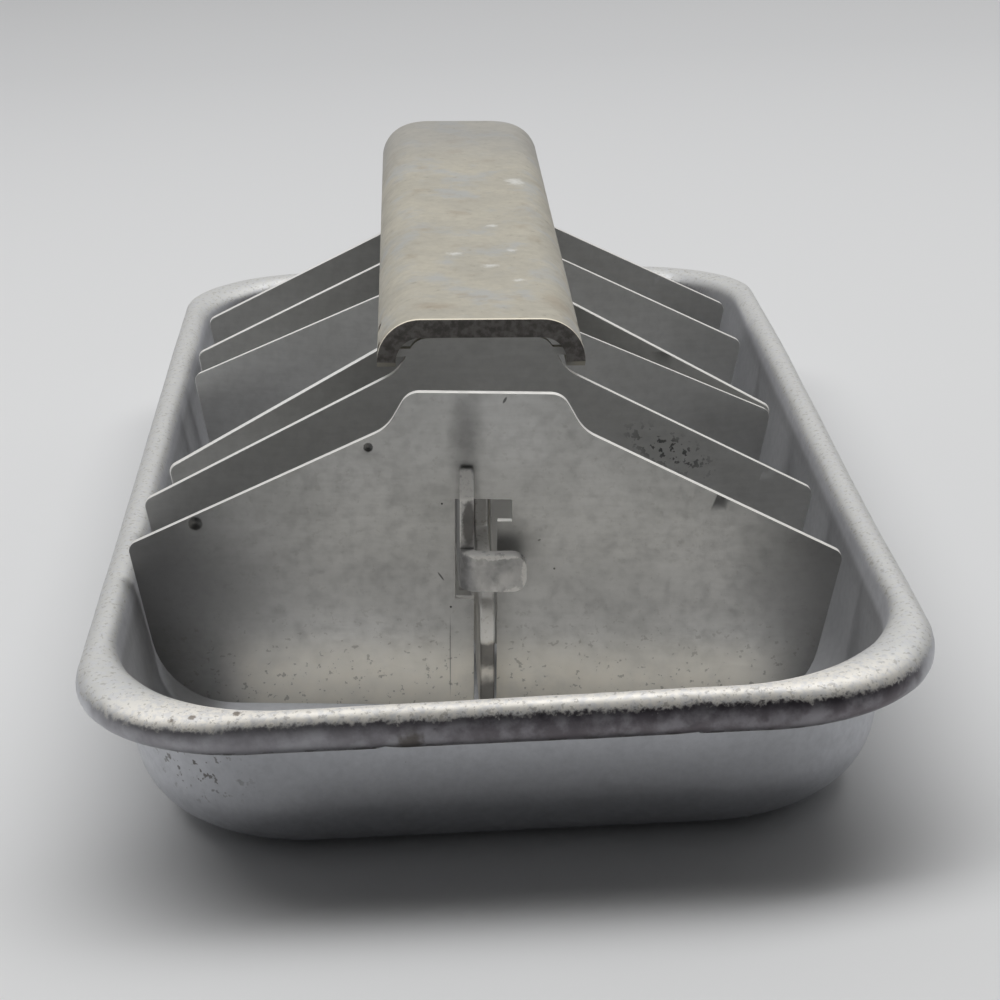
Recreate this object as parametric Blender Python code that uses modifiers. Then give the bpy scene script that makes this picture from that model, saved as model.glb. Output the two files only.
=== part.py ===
"""Aluminium ice cube tray with a loose divider grid and a lever that frees the ice.

Metres, +Z up, +Y along the tray. The tray stands on Z = 0, its middle over the origin.
The drawn pan holds a grid of six bell-shaped cross plates on two long bars. A channel
lever is hung on the neck of the second cross plate. Raised, it draws the slide bar back,
and the notches of that bar rock the other five plates and break the ice loose.
"""

from math import cos, pi, radians, sin, tan

import bmesh
import bpy
from mathutils import Matrix, Vector

# Pan, drawn from one sheet, with a rolled bead at its rim
RIM_LENGTH = 0.230
RIM_WIDTH = 0.120
PAN_HEIGHT = 0.026
PAN_SHEET = 0.0012
BEAD_RADIUS = 0.0025
BEAD_TUCK = radians(70)
RIM_CORNER = 0.023
FLOOR_CORNER = 0.008
WALL_FLARE = radians(10)
FLOOR_FILLET = 0.012

# How the loose grid sits in the pan: it leans a little to one side, about the rim's height
GRID_LEAN = radians(2.2)
GRID_SHIFT = -0.00115

# Cross plates. Heights of the grid's pieces are measured from the rim's top
PLATE_SHEET = 0.0012
PLATE_HALF_WIDTH = 0.0538
PLATE_FLOOR_GAP = 0.0019
PLATE_FOOT = PAN_SHEET + PLATE_FLOOR_GAP - PAN_HEIGHT
PLATE_CORNER_HEIGHT = 0.0030
PLATE_CORNER_ROUND = 0.0016
PLATE_SLOPE = radians(25.9)
PLATE_TAPER = radians(11)
PLATE_FOOT_ROUND = 0.0125
NECK_TOP = 0.0277
NECK_HALF_WIDTH = 0.0114
NECK_FLARE = radians(29.2)
NECK_TOP_ROUND = 0.0030
NECK_WAIST_ROUND = 0.0060

# The plate that carries the lever doesn't rock. Its blank is taller, up into the lever's channel
FIXED_PLATE = 1
FIXED_PLATE_SLOPE = radians(27.3)
FIXED_NECK_TOP = 0.0292

# Where each cross plate stands, how it is turned about the upright, and its sideways play.
# Towards the far end the blanks are trimmed a little narrower, neck and all
PLATE_PLACES = (-0.0638, -0.0406, -0.0133, 0.0125, 0.0392, 0.0629)
PLATE_TURNS = tuple(radians(turn) for turn in (-3.3, 1.4, 14.6, -11.4, 3.2, 4.8))
PLATE_PLAYS = (-0.0008, -0.0006, 0.0, 0.0004, 0.0002, 0.0004)
PLATE_TRIMS = (0.0, 0.0004, 0.0006, 0.0012, 0.0019, 0.0020)
PLATE_ROCK = radians(6.4)

# Long bars, two flat strips side by side
BAR_SHEET = 0.00208
BAR_GAP = 0.0009
LOWER_BAR_MIDDLE = -0.0006
LOWER_BAR_NOSE_REACH = 0.0080
LOWER_BAR_NOSE_TOP = -0.0025
LOWER_BAR_TAIL_REACH = 0.0080
NOSE_ROUND = 0.0045
SLIDE_BAR_NOSE_REACH = 0.0036
SLIDE_BAR_TAIL_REACH = 0.0070
SLIDE_BAR_TOP = 0.0163
SLIDE_BAR_NOSE_ROUND = 0.0021
SLIDE_TRAVEL = 0.0041
NOTCH_PLAY = 0.0006

# The slide bar's front end is folded across in front of the first plate, and is only as deep
# as this tab until it has passed through that plate
TAB_BOTTOM = -0.0014
TAB_TOP = 0.0044
TAB_END = 0.0052
TAB_BEND = 0.0009
TAB_CORNER_ROUND = 0.0021
NOSE_STEP_REACH = 0.0022

# The cut-out that each cross plate has for the bars
SLOT_PLAY = 0.00035
SLOT_NARROW_PLAY = 0.0006
SLOT_STEP = -0.0050
SLOT_TOP = 0.0111
KEY_WIDTH = 0.0022
KEY_BOTTOM = 0.0076

# Lever, a channel with a closed round end, and what joins it to the grid
LEVER_SHEET = 0.0029
LEVER_HALF_WIDTH = 0.0162
LEVER_MIDDLE = -0.0007
LEVER_TOP = 0.0327
LEVER_DEPTH = 0.0079
LEVER_NEAR_REACH = 0.0026
LEVER_FAR_END = 0.1115
LEVER_EDGE_ROUND = 0.0068
LEVER_END_ROUND = 0.0100
LEVER_CORNER_CUT = 0.0013
TRUNNION_HEIGHT = 0.0269
TRUNNION_WIDTH = 0.0013
TRUNNION_SHY = 0.0003
PIVOT_HOLE_RADIUS = 0.00145

# Cam arm under the lever, and the fork of the slide bar that it moves
CAM_REACH = 0.0043
CAM_DROP = 0.0066
CAM_NOSE_RADIUS = 0.0015
CAM_FORK_PLAY = 0.0006
CAM_BODY_LENGTH = 0.0105
CAM_BODY_HEIGHT = 0.0034
FORK_HORN = 0.0013
FORK_REAR_HORN = 0.0024
FORK_FRONT_TOP = 0.0236
RIVET_RADIUS = 0.0007
RIVET_SHY = 0.0010
RIVET_CHAMFER = 0.0002
SEAT_GAP = 0.0003

ARC_STEPS = 6
CORNER_STEPS = 9
ROUND_SEGMENTS = 20
ALMOST_HALF_ROUND = 0.98


def clear_scene():
    for thing in list(bpy.data.objects):
        bpy.data.objects.remove(thing, do_unlink=True)


def new_collection(name):
    collection = bpy.data.collections.new(name)
    bpy.context.scene.collection.children.link(collection)
    return collection


def metal(name, colour, roughness):
    """A metal with its own colour and polish."""
    material = bpy.data.materials.new(name)
    material.use_nodes = True
    shader = material.node_tree.nodes["Principled BSDF"]
    shader.inputs["Base Color"].default_value = (*colour, 1)
    shader.inputs["Metallic"].default_value = 1.0
    shader.inputs["Roughness"].default_value = roughness
    material.diffuse_color = (*colour, 1)
    return material


def add(name, data, material, parent=None):
    """Puts a mesh or a curve in the tray's collection as an object with this material."""
    thing = bpy.data.objects.new(name, data)
    if material is not None:
        data.materials.append(material)
    TRAY.objects.link(thing)
    thing.parent = parent
    return thing


def arc(centre, radius, start, end, steps):
    """Points along an arc in a plane, both ends included."""
    turn = (end - start) / steps
    return [
        (centre[0] + radius * cos(start + turn * i), centre[1] + radius * sin(start + turn * i))
        for i in range(steps + 1)
    ]


def rounded(corners, steps=ARC_STEPS):
    """A closed outline with each corner (x, y, radius) rounded off."""
    outline = []
    for i, (x, y, radius) in enumerate(corners):
        corner = Vector((x, y))
        if radius == 0:
            outline.append(corner)
            continue
        before = (Vector(corners[i - 1][:2]) - corner).normalized()
        after = (Vector(corners[(i + 1) % len(corners)][:2]) - corner).normalized()
        half = before.angle(after) / 2
        middle = corner + (before + after).normalized() * (radius / sin(half))
        first = corner + before * (radius / tan(half)) - middle
        swing = first.angle_signed(corner + after * (radius / tan(half)) - middle)
        for step in range(steps + 1):
            outline.append(middle + Matrix.Rotation(-swing * step / steps, 2) @ first)
    return outline


def flat_piece(name, outline, thickness, material, parent):
    """A flat piece cut to an outline, with its thickness half to each side."""
    curve = bpy.data.curves.new(name, "CURVE")
    curve.dimensions = "2D"
    curve.fill_mode = "BOTH"
    curve.extrude = thickness / 2
    spline = curve.splines.new("POLY")
    spline.points.add(len(outline) - 1)
    for point, (x, y) in zip(spline.points, outline):
        point.co = (x, y, 0, 1)
    spline.use_cyclic_u = True
    return add(name, curve, material, parent)


def loft(rings, close_ring, cap_last):
    """A surface through rings of as many points each, the last one filled if asked."""
    shape = bmesh.new()
    rows = [[shape.verts.new(point) for point in ring] for ring in rings]
    count = len(rows[0])
    for row, after in zip(rows, rows[1:]):
        for i in range(count if close_ring else count - 1):
            k = (i + 1) % count
            shape.faces.new((row[i], row[k], after[k], after[i]))
    if cap_last:
        shape.faces.new(rows[-1])
    return shape


def mesh_from(shape, name):
    mesh = bpy.data.meshes.new(name)
    shape.to_mesh(mesh)
    shape.free()
    return mesh


def smooth(thing, angle=35):
    thing.data.shade_smooth()
    thing.data.set_sharp_from_angle(angle=radians(angle))


def thicken(thing, thickness):
    """Turns a surface into sheet, grown behind the faces."""
    shell = thing.modifiers.new("Sheet", "SOLIDIFY")
    shell.thickness = thickness
    shell.offset = -1
    shell.use_even_offset = True
    shell.use_rim = True


def cut(thing, cutter):
    hole = thing.modifiers.new(cutter.name, "BOOLEAN")
    hole.operation = "DIFFERENCE"
    hole.object = cutter


def as_mesh(thing, name):
    """The same piece as a closed mesh, in place of a curve, so that it can be cut."""
    bpy.context.view_layer.update()
    evaluated = thing.evaluated_get(bpy.context.evaluated_depsgraph_get())
    mesh = bpy.data.meshes.new_from_object(evaluated)
    shape = bmesh.new()
    shape.from_mesh(mesh)
    bmesh.ops.remove_doubles(shape, verts=shape.verts, dist=1e-6)
    shape.to_mesh(mesh)
    shape.free()
    solid = bpy.data.objects.new(name, mesh)
    TRAY.objects.link(solid)
    solid.parent = thing.parent
    solid.matrix_world = thing.matrix_world
    bpy.data.objects.remove(thing, do_unlink=True)
    return solid


def cross_cutter(name, radius, half_length, place, parent):
    """A hidden cylinder along X that bores what it passes through."""
    shape = bmesh.new()
    size = {"radius1": radius, "radius2": radius, "depth": 2 * half_length}
    bmesh.ops.create_cone(shape, cap_ends=True, segments=ROUND_SEGMENTS, **size)
    cutter = bpy.data.objects.new(name, mesh_from(shape, name))
    CUTTERS.objects.link(cutter)
    cutter.parent = parent
    cutter.location = place
    cutter.rotation_euler = (0, pi / 2, 0)
    cutter.hide_render = True
    cutter.display_type = "WIRE"
    return cutter


def pan_profile():
    """(inset, height) down the pan's upper surface, from the tucked edge of the bead to the floor."""
    bead = (BEAD_RADIUS, PAN_HEIGHT - BEAD_RADIUS)
    over = arc(bead, BEAD_RADIUS, pi + BEAD_TUCK, WALL_FLARE, 14)
    wall_top = over[-1]
    fillet_height = PAN_SHEET + FLOOR_FILLET
    wall_end = fillet_height - FLOOR_FILLET * sin(WALL_FLARE)
    wall_inset = wall_top[0] + (wall_top[1] - wall_end) * tan(WALL_FLARE)
    fillet = (wall_inset + FLOOR_FILLET * cos(WALL_FLARE), fillet_height)
    return over + arc(fillet, FLOOR_FILLET, pi + WALL_FLARE, 1.5 * pi, 7)


def rounded_rectangle(half_width, half_length, radius, height):
    ring = []
    for side_x, side_y, start in ((1, -1, -pi / 2), (1, 1, 0), (-1, 1, pi / 2), (-1, -1, pi)):
        centre = (side_x * (half_width - radius), side_y * (half_length - radius))
        ring += [(x, y, height) for x, y in arc(centre, radius, start, start + pi / 2, CORNER_STEPS)]
    return ring


def make_pan():
    profile = pan_profile()
    floor_inset = profile[-1][0]
    rings = []
    for inset, height in profile:
        radius = RIM_CORNER + (FLOOR_CORNER - RIM_CORNER) * inset / floor_inset
        rings.append(rounded_rectangle(RIM_WIDTH / 2 - inset, RIM_LENGTH / 2 - inset, radius, height))
    shell = mesh_from(loft(rings, True, True), "tray_pan")
    pan = add("tray_pan", shell, metal("pan", (0.62, 0.63, 0.65), 0.38))
    thicken(pan, PAN_SHEET)
    smooth(pan)


def across_plate(index, left, right, play, height):
    """Left and right of a slot in a cross plate, round what lies between these two places of the grid.

    A turned plate needs a wider slot, also for the way that it rocks: at this height above its foot
    the bars then pass it further to one side.
    """
    turn = PLATE_TURNS[index]
    middle = PLATE_PLAYS[index]
    room = play + PLATE_SHEET / 2 * abs(tan(turn))
    sweep = 0 if index == FIXED_PLATE else height * tan(PLATE_ROCK) * tan(turn)
    low = (left - middle) / cos(turn) - room + min(0, sweep)
    high = (right - middle) / cos(turn) + room + max(0, sweep)
    return low, high


def bell_side(index):
    """The right side of a cross plate from its foot to its neck, as corners with their radii.

    The shoulder slopes up from the corner to a waist, and from there the neck narrows upwards.
    """
    half_width = PLATE_HALF_WIDTH - PLATE_TRIMS[index]
    neck = NECK_HALF_WIDTH - PLATE_TRIMS[index]
    slope = tan(FIXED_PLATE_SLOPE if index == FIXED_PLATE else PLATE_SLOPE)
    neck_top = FIXED_NECK_TOP if index == FIXED_PLATE else NECK_TOP
    flare = tan(NECK_FLARE)
    fall = NECK_TOP - PLATE_CORNER_HEIGHT - half_width * slope
    waist = (neck + flare * fall) / (1 - flare * slope)
    above_foot = PLATE_CORNER_HEIGHT - PLATE_FOOT
    return [
        (half_width - above_foot * tan(PLATE_TAPER), 0, PLATE_FOOT_ROUND),
        (half_width, above_foot, PLATE_CORNER_ROUND),
        (waist, above_foot + (half_width - waist) * slope, NECK_WAIST_ROUND),
        (neck - (neck_top - NECK_TOP) * flare, neck_top - PLATE_FOOT, NECK_TOP_ROUND),
    ]


def bars_cut_out(index):
    """The open-bottomed slot for the two bars, from its left foot round to its right foot."""
    lower_left = LOWER_BAR_MIDDLE - BAR_SHEET / 2
    lower_right = LOWER_BAR_MIDDLE + BAR_SHEET / 2
    slide_left = slide_bar_middle() - BAR_SHEET / 2
    step = SLOT_STEP - PLATE_FOOT
    top = SLOT_TOP - PLATE_FOOT
    key_bottom = KEY_BOTTOM - PLATE_FOOT
    wide_left, wide_right = across_plate(index, slide_left, lower_right, SLOT_PLAY, top)
    narrow_left, narrow_right = across_plate(index, lower_left, lower_right, SLOT_NARROW_PLAY, step)
    wide_right = max(wide_right, narrow_right)
    return [
        (narrow_left, 0, 0),
        (narrow_left, step, 0),
        (wide_left, step, 0),
        (wide_left, top, 0),
        (wide_right + KEY_WIDTH, top, 0),
        (wide_right + KEY_WIDTH, key_bottom, 0),
        (wide_right, key_bottom, 0),
        (wide_right, step, 0),
        (narrow_right, step, 0),
        (narrow_right, 0, 0),
    ]


def with_trunnion(side):
    """The side of the plate that carries the lever, with a tongue that reaches into its flange."""
    height = TRUNNION_HEIGHT - PLATE_FOOT
    reach = LEVER_HALF_WIDTH - TRUNNION_SHY
    waist, neck = side[-2], side[-1]
    lean = (neck[0] - waist[0]) / (neck[1] - waist[1])
    low, high = height - TRUNNION_WIDTH / 2, height + TRUNNION_WIDTH / 2
    under, over = (waist[0] + (level - waist[1]) * lean for level in (low, high))
    return side[:-1] + [(under, low, 0), (reach, low, 0), (reach, high, 0), (over, high, 0), neck]


def make_cross_plate(index, material, parent):
    side = bell_side(index)
    if index == FIXED_PLATE:
        side = with_trunnion(side)
    left = [(-x, y, radius) for x, y, radius in reversed(side)]
    outline = rounded(side + left + bars_cut_out(index))
    plate = flat_piece(f"cross_plate_{index + 1}", outline, PLATE_SHEET, material, parent)
    plate.location = (PLATE_PLAYS[index], PLATE_PLACES[index], PLATE_FOOT)
    plate.rotation_euler = (pi / 2, 0, PLATE_TURNS[index])


def lengthwise(thing, middle):
    """Stands a flat piece on edge along the tray, its outline's x along Y and its y up Z."""
    thing.rotation_euler = (pi / 2, 0, pi / 2)
    thing.location = (middle, 0, 0)


def make_lower_bar(parent):
    nose = PLATE_PLACES[0] - LOWER_BAR_NOSE_REACH
    tail = PLATE_PLACES[-1] + LOWER_BAR_TAIL_REACH
    rise = PLATE_PLACES[FIXED_PLATE] + PLATE_SHEET / 2 + SEAT_GAP
    fall = PLATE_PLACES[-1] - PLATE_SHEET / 2 - SEAT_GAP - BAR_SHEET
    top = SLOT_TOP - NOTCH_PLAY
    outline = rounded(
        [
            (nose, PLATE_FOOT, NOSE_ROUND),
            (tail, PLATE_FOOT, NOSE_ROUND),
            (tail, LOWER_BAR_NOSE_TOP, NOSE_ROUND),
            (fall, LOWER_BAR_NOSE_TOP, 0),
            (fall, top, 0),
            (rise, top, 0),
            (rise, LOWER_BAR_NOSE_TOP, 0),
            (nose, LOWER_BAR_NOSE_TOP, NOSE_ROUND),
        ]
    )
    bar = flat_piece("lower_bar", outline, BAR_SHEET, metal("lower_bar", (0.60, 0.60, 0.60), 0.45), parent)
    lengthwise(bar, LOWER_BAR_MIDDLE)


def slide_bar_middle():
    return LOWER_BAR_MIDDLE - BAR_SHEET - BAR_GAP


def notch_at(index):
    """Near and far side of the slide bar's notch for a cross plate."""
    turn = PLATE_TURNS[index]
    place = PLATE_PLACES[index] + (slide_bar_middle() - PLATE_PLAYS[index]) * tan(turn)
    half = (PLATE_SHEET / cos(turn) + BAR_SHEET * abs(tan(turn))) / 2 + NOTCH_PLAY
    travel = SLIDE_TRAVEL if index == FIXED_PLATE else 0
    return place - half - travel, place + half


def fork_outline():
    """The two horns behind the fixed plate that hold the nose of the cam, from rear to front."""
    nose = PLATE_PLACES[FIXED_PLATE] + CAM_REACH
    half = CAM_NOSE_RADIUS + CAM_FORK_PLAY
    floor = TRUNNION_HEIGHT - CAM_DROP - CAM_NOSE_RADIUS - CAM_FORK_PLAY
    rear_top = TRUNNION_HEIGHT + web_underside() - SEAT_GAP - CAM_BODY_HEIGHT - CAM_FORK_PLAY
    return [
        (nose + half + 2 * FORK_REAR_HORN, SLIDE_BAR_TOP),
        (nose + half + FORK_REAR_HORN, floor),
        (nose + half + FORK_REAR_HORN, rear_top),
        (nose + half, rear_top),
        (nose + half, floor),
        (nose - half, floor),
        (nose - half, FORK_FRONT_TOP),
        (nose - half - FORK_HORN, FORK_FRONT_TOP),
    ]


def slide_bar_outline():
    """The slide bar's side view: a strip with a notch from above for each plate."""
    nose = PLATE_PLACES[0] - SLIDE_BAR_NOSE_REACH
    tail = PLATE_PLACES[-1] + SLIDE_BAR_TAIL_REACH
    bottom = SLOT_STEP + SEAT_GAP
    notch_floor = SLOT_TOP - NOTCH_PLAY
    step = PLATE_PLACES[0] + NOSE_STEP_REACH
    corners = [(nose, TAB_TOP, 0), (nose, TAB_BOTTOM, 0), (step, TAB_BOTTOM, 0), (step, bottom, 0)]
    corners += [(tail, bottom, SLIDE_BAR_NOSE_ROUND), (tail, SLIDE_BAR_TOP, SLIDE_BAR_NOSE_ROUND)]
    for index in reversed(range(len(PLATE_PLACES))):
        near, far = notch_at(index)
        if index == FIXED_PLATE:
            corners += [(x, y, 0) for x, y in fork_outline()]
            corners.append((fork_outline()[-1][0], notch_floor, 0))
        else:
            corners += [(far, SLIDE_BAR_TOP, 0), (far, notch_floor, 0)]
        corners += [(near, notch_floor, 0), (near, SLIDE_BAR_TOP, 0)]
    corners.append((nose, SLIDE_BAR_TOP, SLIDE_BAR_NOSE_ROUND))
    return rounded(corners)


def make_slide_bar(parent):
    """A flat strip whose front end carries on as a tab, bent a quarter turn across the first plate."""
    shape = bmesh.new()
    middle = slide_bar_middle()
    left = middle - BAR_SHEET / 2
    side = shape.faces.new([shape.verts.new((left, y, z)) for y, z in slide_bar_outline()])
    grown = bmesh.ops.extrude_face_region(shape, geom=[side])["geom"]
    bmesh.ops.translate(
        shape, vec=(BAR_SHEET, 0, 0), verts=[part for part in grown if isinstance(part, bmesh.types.BMVert)]
    )
    nose = PLATE_PLACES[0] - SLIDE_BAR_NOSE_REACH
    tab_middle = Vector((middle, nose, (TAB_TOP + TAB_BOTTOM) / 2))
    end = min(shape.faces, key=lambda face: (face.calc_center_median() - tab_middle).length)
    hinge = Vector((middle + BAR_SHEET / 2 + TAB_BEND, nose, 0))
    bend_steps = ARC_STEPS
    for step in range(bend_steps + 1):
        end = bmesh.ops.extrude_discrete_faces(shape, faces=[end])["faces"][0]
        if step < bend_steps:
            turn = Matrix.Rotation(pi / 2 / bend_steps, 3, "Z")
            bmesh.ops.rotate(shape, cent=hinge, matrix=turn, verts=end.verts)
        else:
            bmesh.ops.translate(shape, vec=(TAB_END - hinge.x, 0, 0), verts=end.verts)
    corners = [edge for edge in end.edges if abs(edge.verts[0].co.z - edge.verts[1].co.z) < 1e-6]
    bmesh.ops.bevel(shape, geom=corners, offset=TAB_CORNER_ROUND, segments=4, profile=0.5, affect="EDGES")
    bmesh.ops.recalc_face_normals(shape, faces=shape.faces)
    bar = add("slide_bar", mesh_from(shape, "slide_bar"), metal("slide_bar", (0.66, 0.65, 0.63), 0.40), parent)
    smooth(bar)


def lever_ring(inset, height, near_reach=LEVER_NEAR_REACH):
    """Round the lever's plan at this inset, from the near end's right to its left. Y is from the pivot."""
    half = LEVER_HALF_WIDTH - inset
    near = -near_reach
    far = LEVER_FAR_END - PLATE_PLACES[FIXED_PLATE] - inset
    radius = LEVER_END_ROUND - inset
    right = arc((half - radius, far - radius), radius, 0, pi / 2, CORNER_STEPS)
    left = arc((radius - half, far - radius), radius, pi / 2, pi, CORNER_STEPS)
    plan = [(half, near)] + right + left + [(-half, near)]
    return [(x + LEVER_MIDDLE, y, height) for x, y in plan]


def make_lever(pivot):
    """A channel pressed from thick sheet, open at the pivot and closed at its round far end.

    The near corners of its flanges are cut off, so that they clear the fixed plate's shoulders.
    """
    top = LEVER_TOP - TRUNNION_HEIGHT
    edge = (LEVER_EDGE_ROUND, top - LEVER_EDGE_ROUND)
    rings = [lever_ring(0, top - LEVER_DEPTH, LEVER_NEAR_REACH - LEVER_CORNER_CUT)]
    rings += [lever_ring(inset, height) for inset, height in arc(edge, LEVER_EDGE_ROUND, pi, pi / 2, 8)]
    shell = mesh_from(loft(rings, False, True), "lever_handle")
    lever = add("lever_handle", shell, metal("lever", (0.66, 0.63, 0.58), 0.42), pivot)
    thicken(lever, LEVER_SHEET)
    smooth(lever)
    reach = LEVER_HALF_WIDTH + LEVER_SHEET - LEVER_MIDDLE
    cut(lever, cross_cutter("pivot_bore", PIVOT_HOLE_RADIUS, reach, (0, 0, 0), pivot))
    cut(lever, cross_cutter("rivet_bore", RIVET_RADIUS + SEAT_GAP, reach, rivet_place(), pivot))


def web_underside():
    """Height of the lever's inner face over the pivot."""
    return LEVER_TOP - LEVER_SHEET - TRUNNION_HEIGHT


def rivet_place():
    return (0, CAM_BODY_LENGTH - 2 * RIVET_RADIUS, web_underside() - SEAT_GAP - CAM_BODY_HEIGHT / 2)


def make_cam(pivot):
    """A plate under the lever's web, with an arm down into the slide bar's fork."""
    body_top = web_underside() - SEAT_GAP
    body_bottom = body_top - CAM_BODY_HEIGHT
    near = CAM_REACH - CAM_NOSE_RADIUS
    far = CAM_REACH + CAM_NOSE_RADIUS
    tip = -CAM_DROP - CAM_NOSE_RADIUS
    nose_round = CAM_NOSE_RADIUS * ALMOST_HALF_ROUND
    outline = rounded(
        [
            (near, tip, nose_round),
            (far, tip, nose_round),
            (far, body_bottom, 0),
            (CAM_BODY_LENGTH, body_bottom, 0),
            (CAM_BODY_LENGTH, body_top, 0),
            (near, body_top, 0),
        ]
    )
    flat = flat_piece("cam_blank", outline, BAR_SHEET, metal("cam", (0.55, 0.55, 0.55), 0.45), pivot)
    lengthwise(flat, slide_bar_middle())
    cam = as_mesh(flat, "lever_cam")
    cut(cam, cross_cutter("cam_bore", RIVET_RADIUS + SEAT_GAP, LEVER_HALF_WIDTH, rivet_place(), pivot))


def make_rivet(pivot):
    """A cross pin, filed off flush with the lever's sides."""
    end = LEVER_HALF_WIDTH - RIVET_SHY
    profile = [(0, end), (RIVET_RADIUS - RIVET_CHAMFER, end), (RIVET_RADIUS, end - RIVET_CHAMFER)]
    profile += [(radius, -height) for radius, height in reversed(profile)]
    shape = bmesh.new()
    points = [shape.verts.new((radius, 0, height)) for radius, height in profile]
    for first, second in zip(points, points[1:]):
        shape.edges.new((first, second))
    rivet = add("cam_rivet", mesh_from(shape, "cam_rivet"), metal("rivet", (0.60, 0.60, 0.60), 0.35), pivot)
    x, y, z = rivet_place()
    rivet.location = (x + LEVER_MIDDLE, y, z)
    rivet.rotation_euler = (0, pi / 2, 0)
    turned = rivet.modifiers.new("Turned", "SCREW")
    turned.steps = turned.render_steps = ROUND_SEGMENTS
    turned.use_merge_vertices = True
    turned.merge_threshold = 0.00001


def empty(name, location, rotation, parent):
    frame = bpy.data.objects.new(name, None)
    frame.empty_display_size = 0.01
    frame.location = location
    frame.rotation_euler = rotation
    frame.parent = parent
    TRAY.objects.link(frame)
    return frame


def main():
    make_pan()
    grid = empty("grid_frame", (GRID_SHIFT, 0, PAN_HEIGHT), (0, GRID_LEAN, 0), None)
    plate_metal = metal("cross_plate", (0.58, 0.58, 0.59), 0.42)
    for index in range(len(PLATE_PLACES)):
        make_cross_plate(index, plate_metal, grid)
    make_lower_bar(grid)
    make_slide_bar(grid)
    pivot = empty("lever_pivot", (0, PLATE_PLACES[FIXED_PLATE], TRUNNION_HEIGHT), (0, 0, 0), grid)
    make_lever(pivot)
    make_cam(pivot)
    make_rivet(pivot)


clear_scene()
TRAY = new_collection("Ice cube tray")
CUTTERS = new_collection("Cutters")
main()
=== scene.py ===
"""An old aluminium ice cube tray, finished as it looks after years in a freezer.

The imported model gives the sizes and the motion. The sections below follow the tray as it is put
together: its place and light, the pan, the cross plates, the two bars, the lever and the cam.
"""

from math import cos, hypot, pi, radians, sin, tan

import bmesh
import bpy
from mathutils import Matrix, Vector
from mathutils.geometry import delaunay_2d_cdt
from mathutils.noise import noise


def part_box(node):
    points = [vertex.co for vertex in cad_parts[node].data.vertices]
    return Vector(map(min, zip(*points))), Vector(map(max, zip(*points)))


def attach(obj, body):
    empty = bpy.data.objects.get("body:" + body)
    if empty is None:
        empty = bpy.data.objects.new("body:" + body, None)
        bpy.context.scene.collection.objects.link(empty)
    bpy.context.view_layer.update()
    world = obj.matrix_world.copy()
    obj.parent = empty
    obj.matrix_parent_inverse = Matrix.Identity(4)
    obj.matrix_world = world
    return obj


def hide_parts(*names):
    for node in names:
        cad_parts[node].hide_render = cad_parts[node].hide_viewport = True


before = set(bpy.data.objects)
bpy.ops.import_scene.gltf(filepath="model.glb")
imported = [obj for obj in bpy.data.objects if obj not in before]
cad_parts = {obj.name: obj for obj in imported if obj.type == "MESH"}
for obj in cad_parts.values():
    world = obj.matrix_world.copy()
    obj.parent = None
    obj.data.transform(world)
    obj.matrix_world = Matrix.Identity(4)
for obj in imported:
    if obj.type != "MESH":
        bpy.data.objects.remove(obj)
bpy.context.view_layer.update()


# Camera. The tray is seen from a little above its near end, along its length, with the camera
# a few degrees off square and tipped to the left.

camera_place = Vector((-0.008127, -0.398757, 0.163879))
camera_pitch = radians(20.789)
camera_yaw = radians(1.513)
camera_roll = radians(-2.043)

level = Vector((cos(camera_yaw), -sin(camera_yaw), 0))
ahead = Vector((sin(camera_yaw), cos(camera_yaw), 0))
up = Vector((0, 0, 1))
view_line = ahead * cos(camera_pitch) - up * sin(camera_pitch)
view_up = ahead * sin(camera_pitch) + up * cos(camera_pitch)
across = level * cos(camera_roll) + view_up * sin(camera_roll)
upward = view_up * cos(camera_roll) - level * sin(camera_roll)

camera = bpy.data.objects.new("camera", bpy.data.cameras.new("camera"))
camera.data.lens = 86.4
camera.data.sensor_width = 36
camera.matrix_world = Matrix((across, upward, -view_line)).transposed().to_4x4()
camera.matrix_world.translation = camera_place
bpy.context.scene.collection.objects.link(camera)
bpy.context.scene.camera = camera
bpy.context.scene.view_settings.view_transform = "Standard"


# Floor and light. A sweep of pale card with no seam, painted a little paler in front as the light
# that falls more there, under one soft lamp that hangs nearly overhead and a little behind the
# tray. The surround is pale behind and dark in front, on the camera's side.

floor_half = 3.0
floor_lit_colour_near = (0.815, 0.82, 0.825)
floor_lit_colour_far = (0.645, 0.65, 0.66)
floor_light_fade = (-0.15, 0.50)
lamp_place = Vector((-0.06, 0.30, 1.0))
lamp_aim = Vector((0, 0.06, 0))
lamp_size = (1.80, 0.46)
lamp_watts = 10.2
surround_fade = (-0.25, 0.75)
surround_front = 0.05
surround_back = 0.62
surround_colour = (1.0, 0.995, 0.985)


def linked(tree, kind, **sockets):
    """A node of this kind, its inputs set to values or joined to other nodes' outputs."""
    node = tree.nodes.new(kind)
    for name, value in sockets.items():
        socket = node.inputs[name.replace("_", " ")]
        if isinstance(value, bpy.types.NodeSocket):
            tree.links.new(value, socket)
        else:
            socket.default_value = value
    return node


def coordinate(tree, kind):
    """Where the shaded point lies, as an output. Kind is Object, Generated or Normal."""
    return tree.nodes.new("ShaderNodeTexCoord").outputs[kind]


def parts_of(tree, vector):
    """The X, Y and Z of a vector, as outputs."""
    return linked(tree, "ShaderNodeSeparateXYZ", Vector=vector).outputs


def mixed(tree, factor, first, second):
    """The first colour turned to the second by a factor, as an output."""
    node = tree.nodes.new("ShaderNodeMix")
    node.data_type = "RGBA"
    for socket, value in (("Factor", factor), ("A", first), ("B", second)):
        if isinstance(value, bpy.types.NodeSocket):
            tree.links.new(value, node.inputs[socket])
        else:
            node.inputs[socket].default_value = (*value, 1)
    return node.outputs["Result"]


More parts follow.
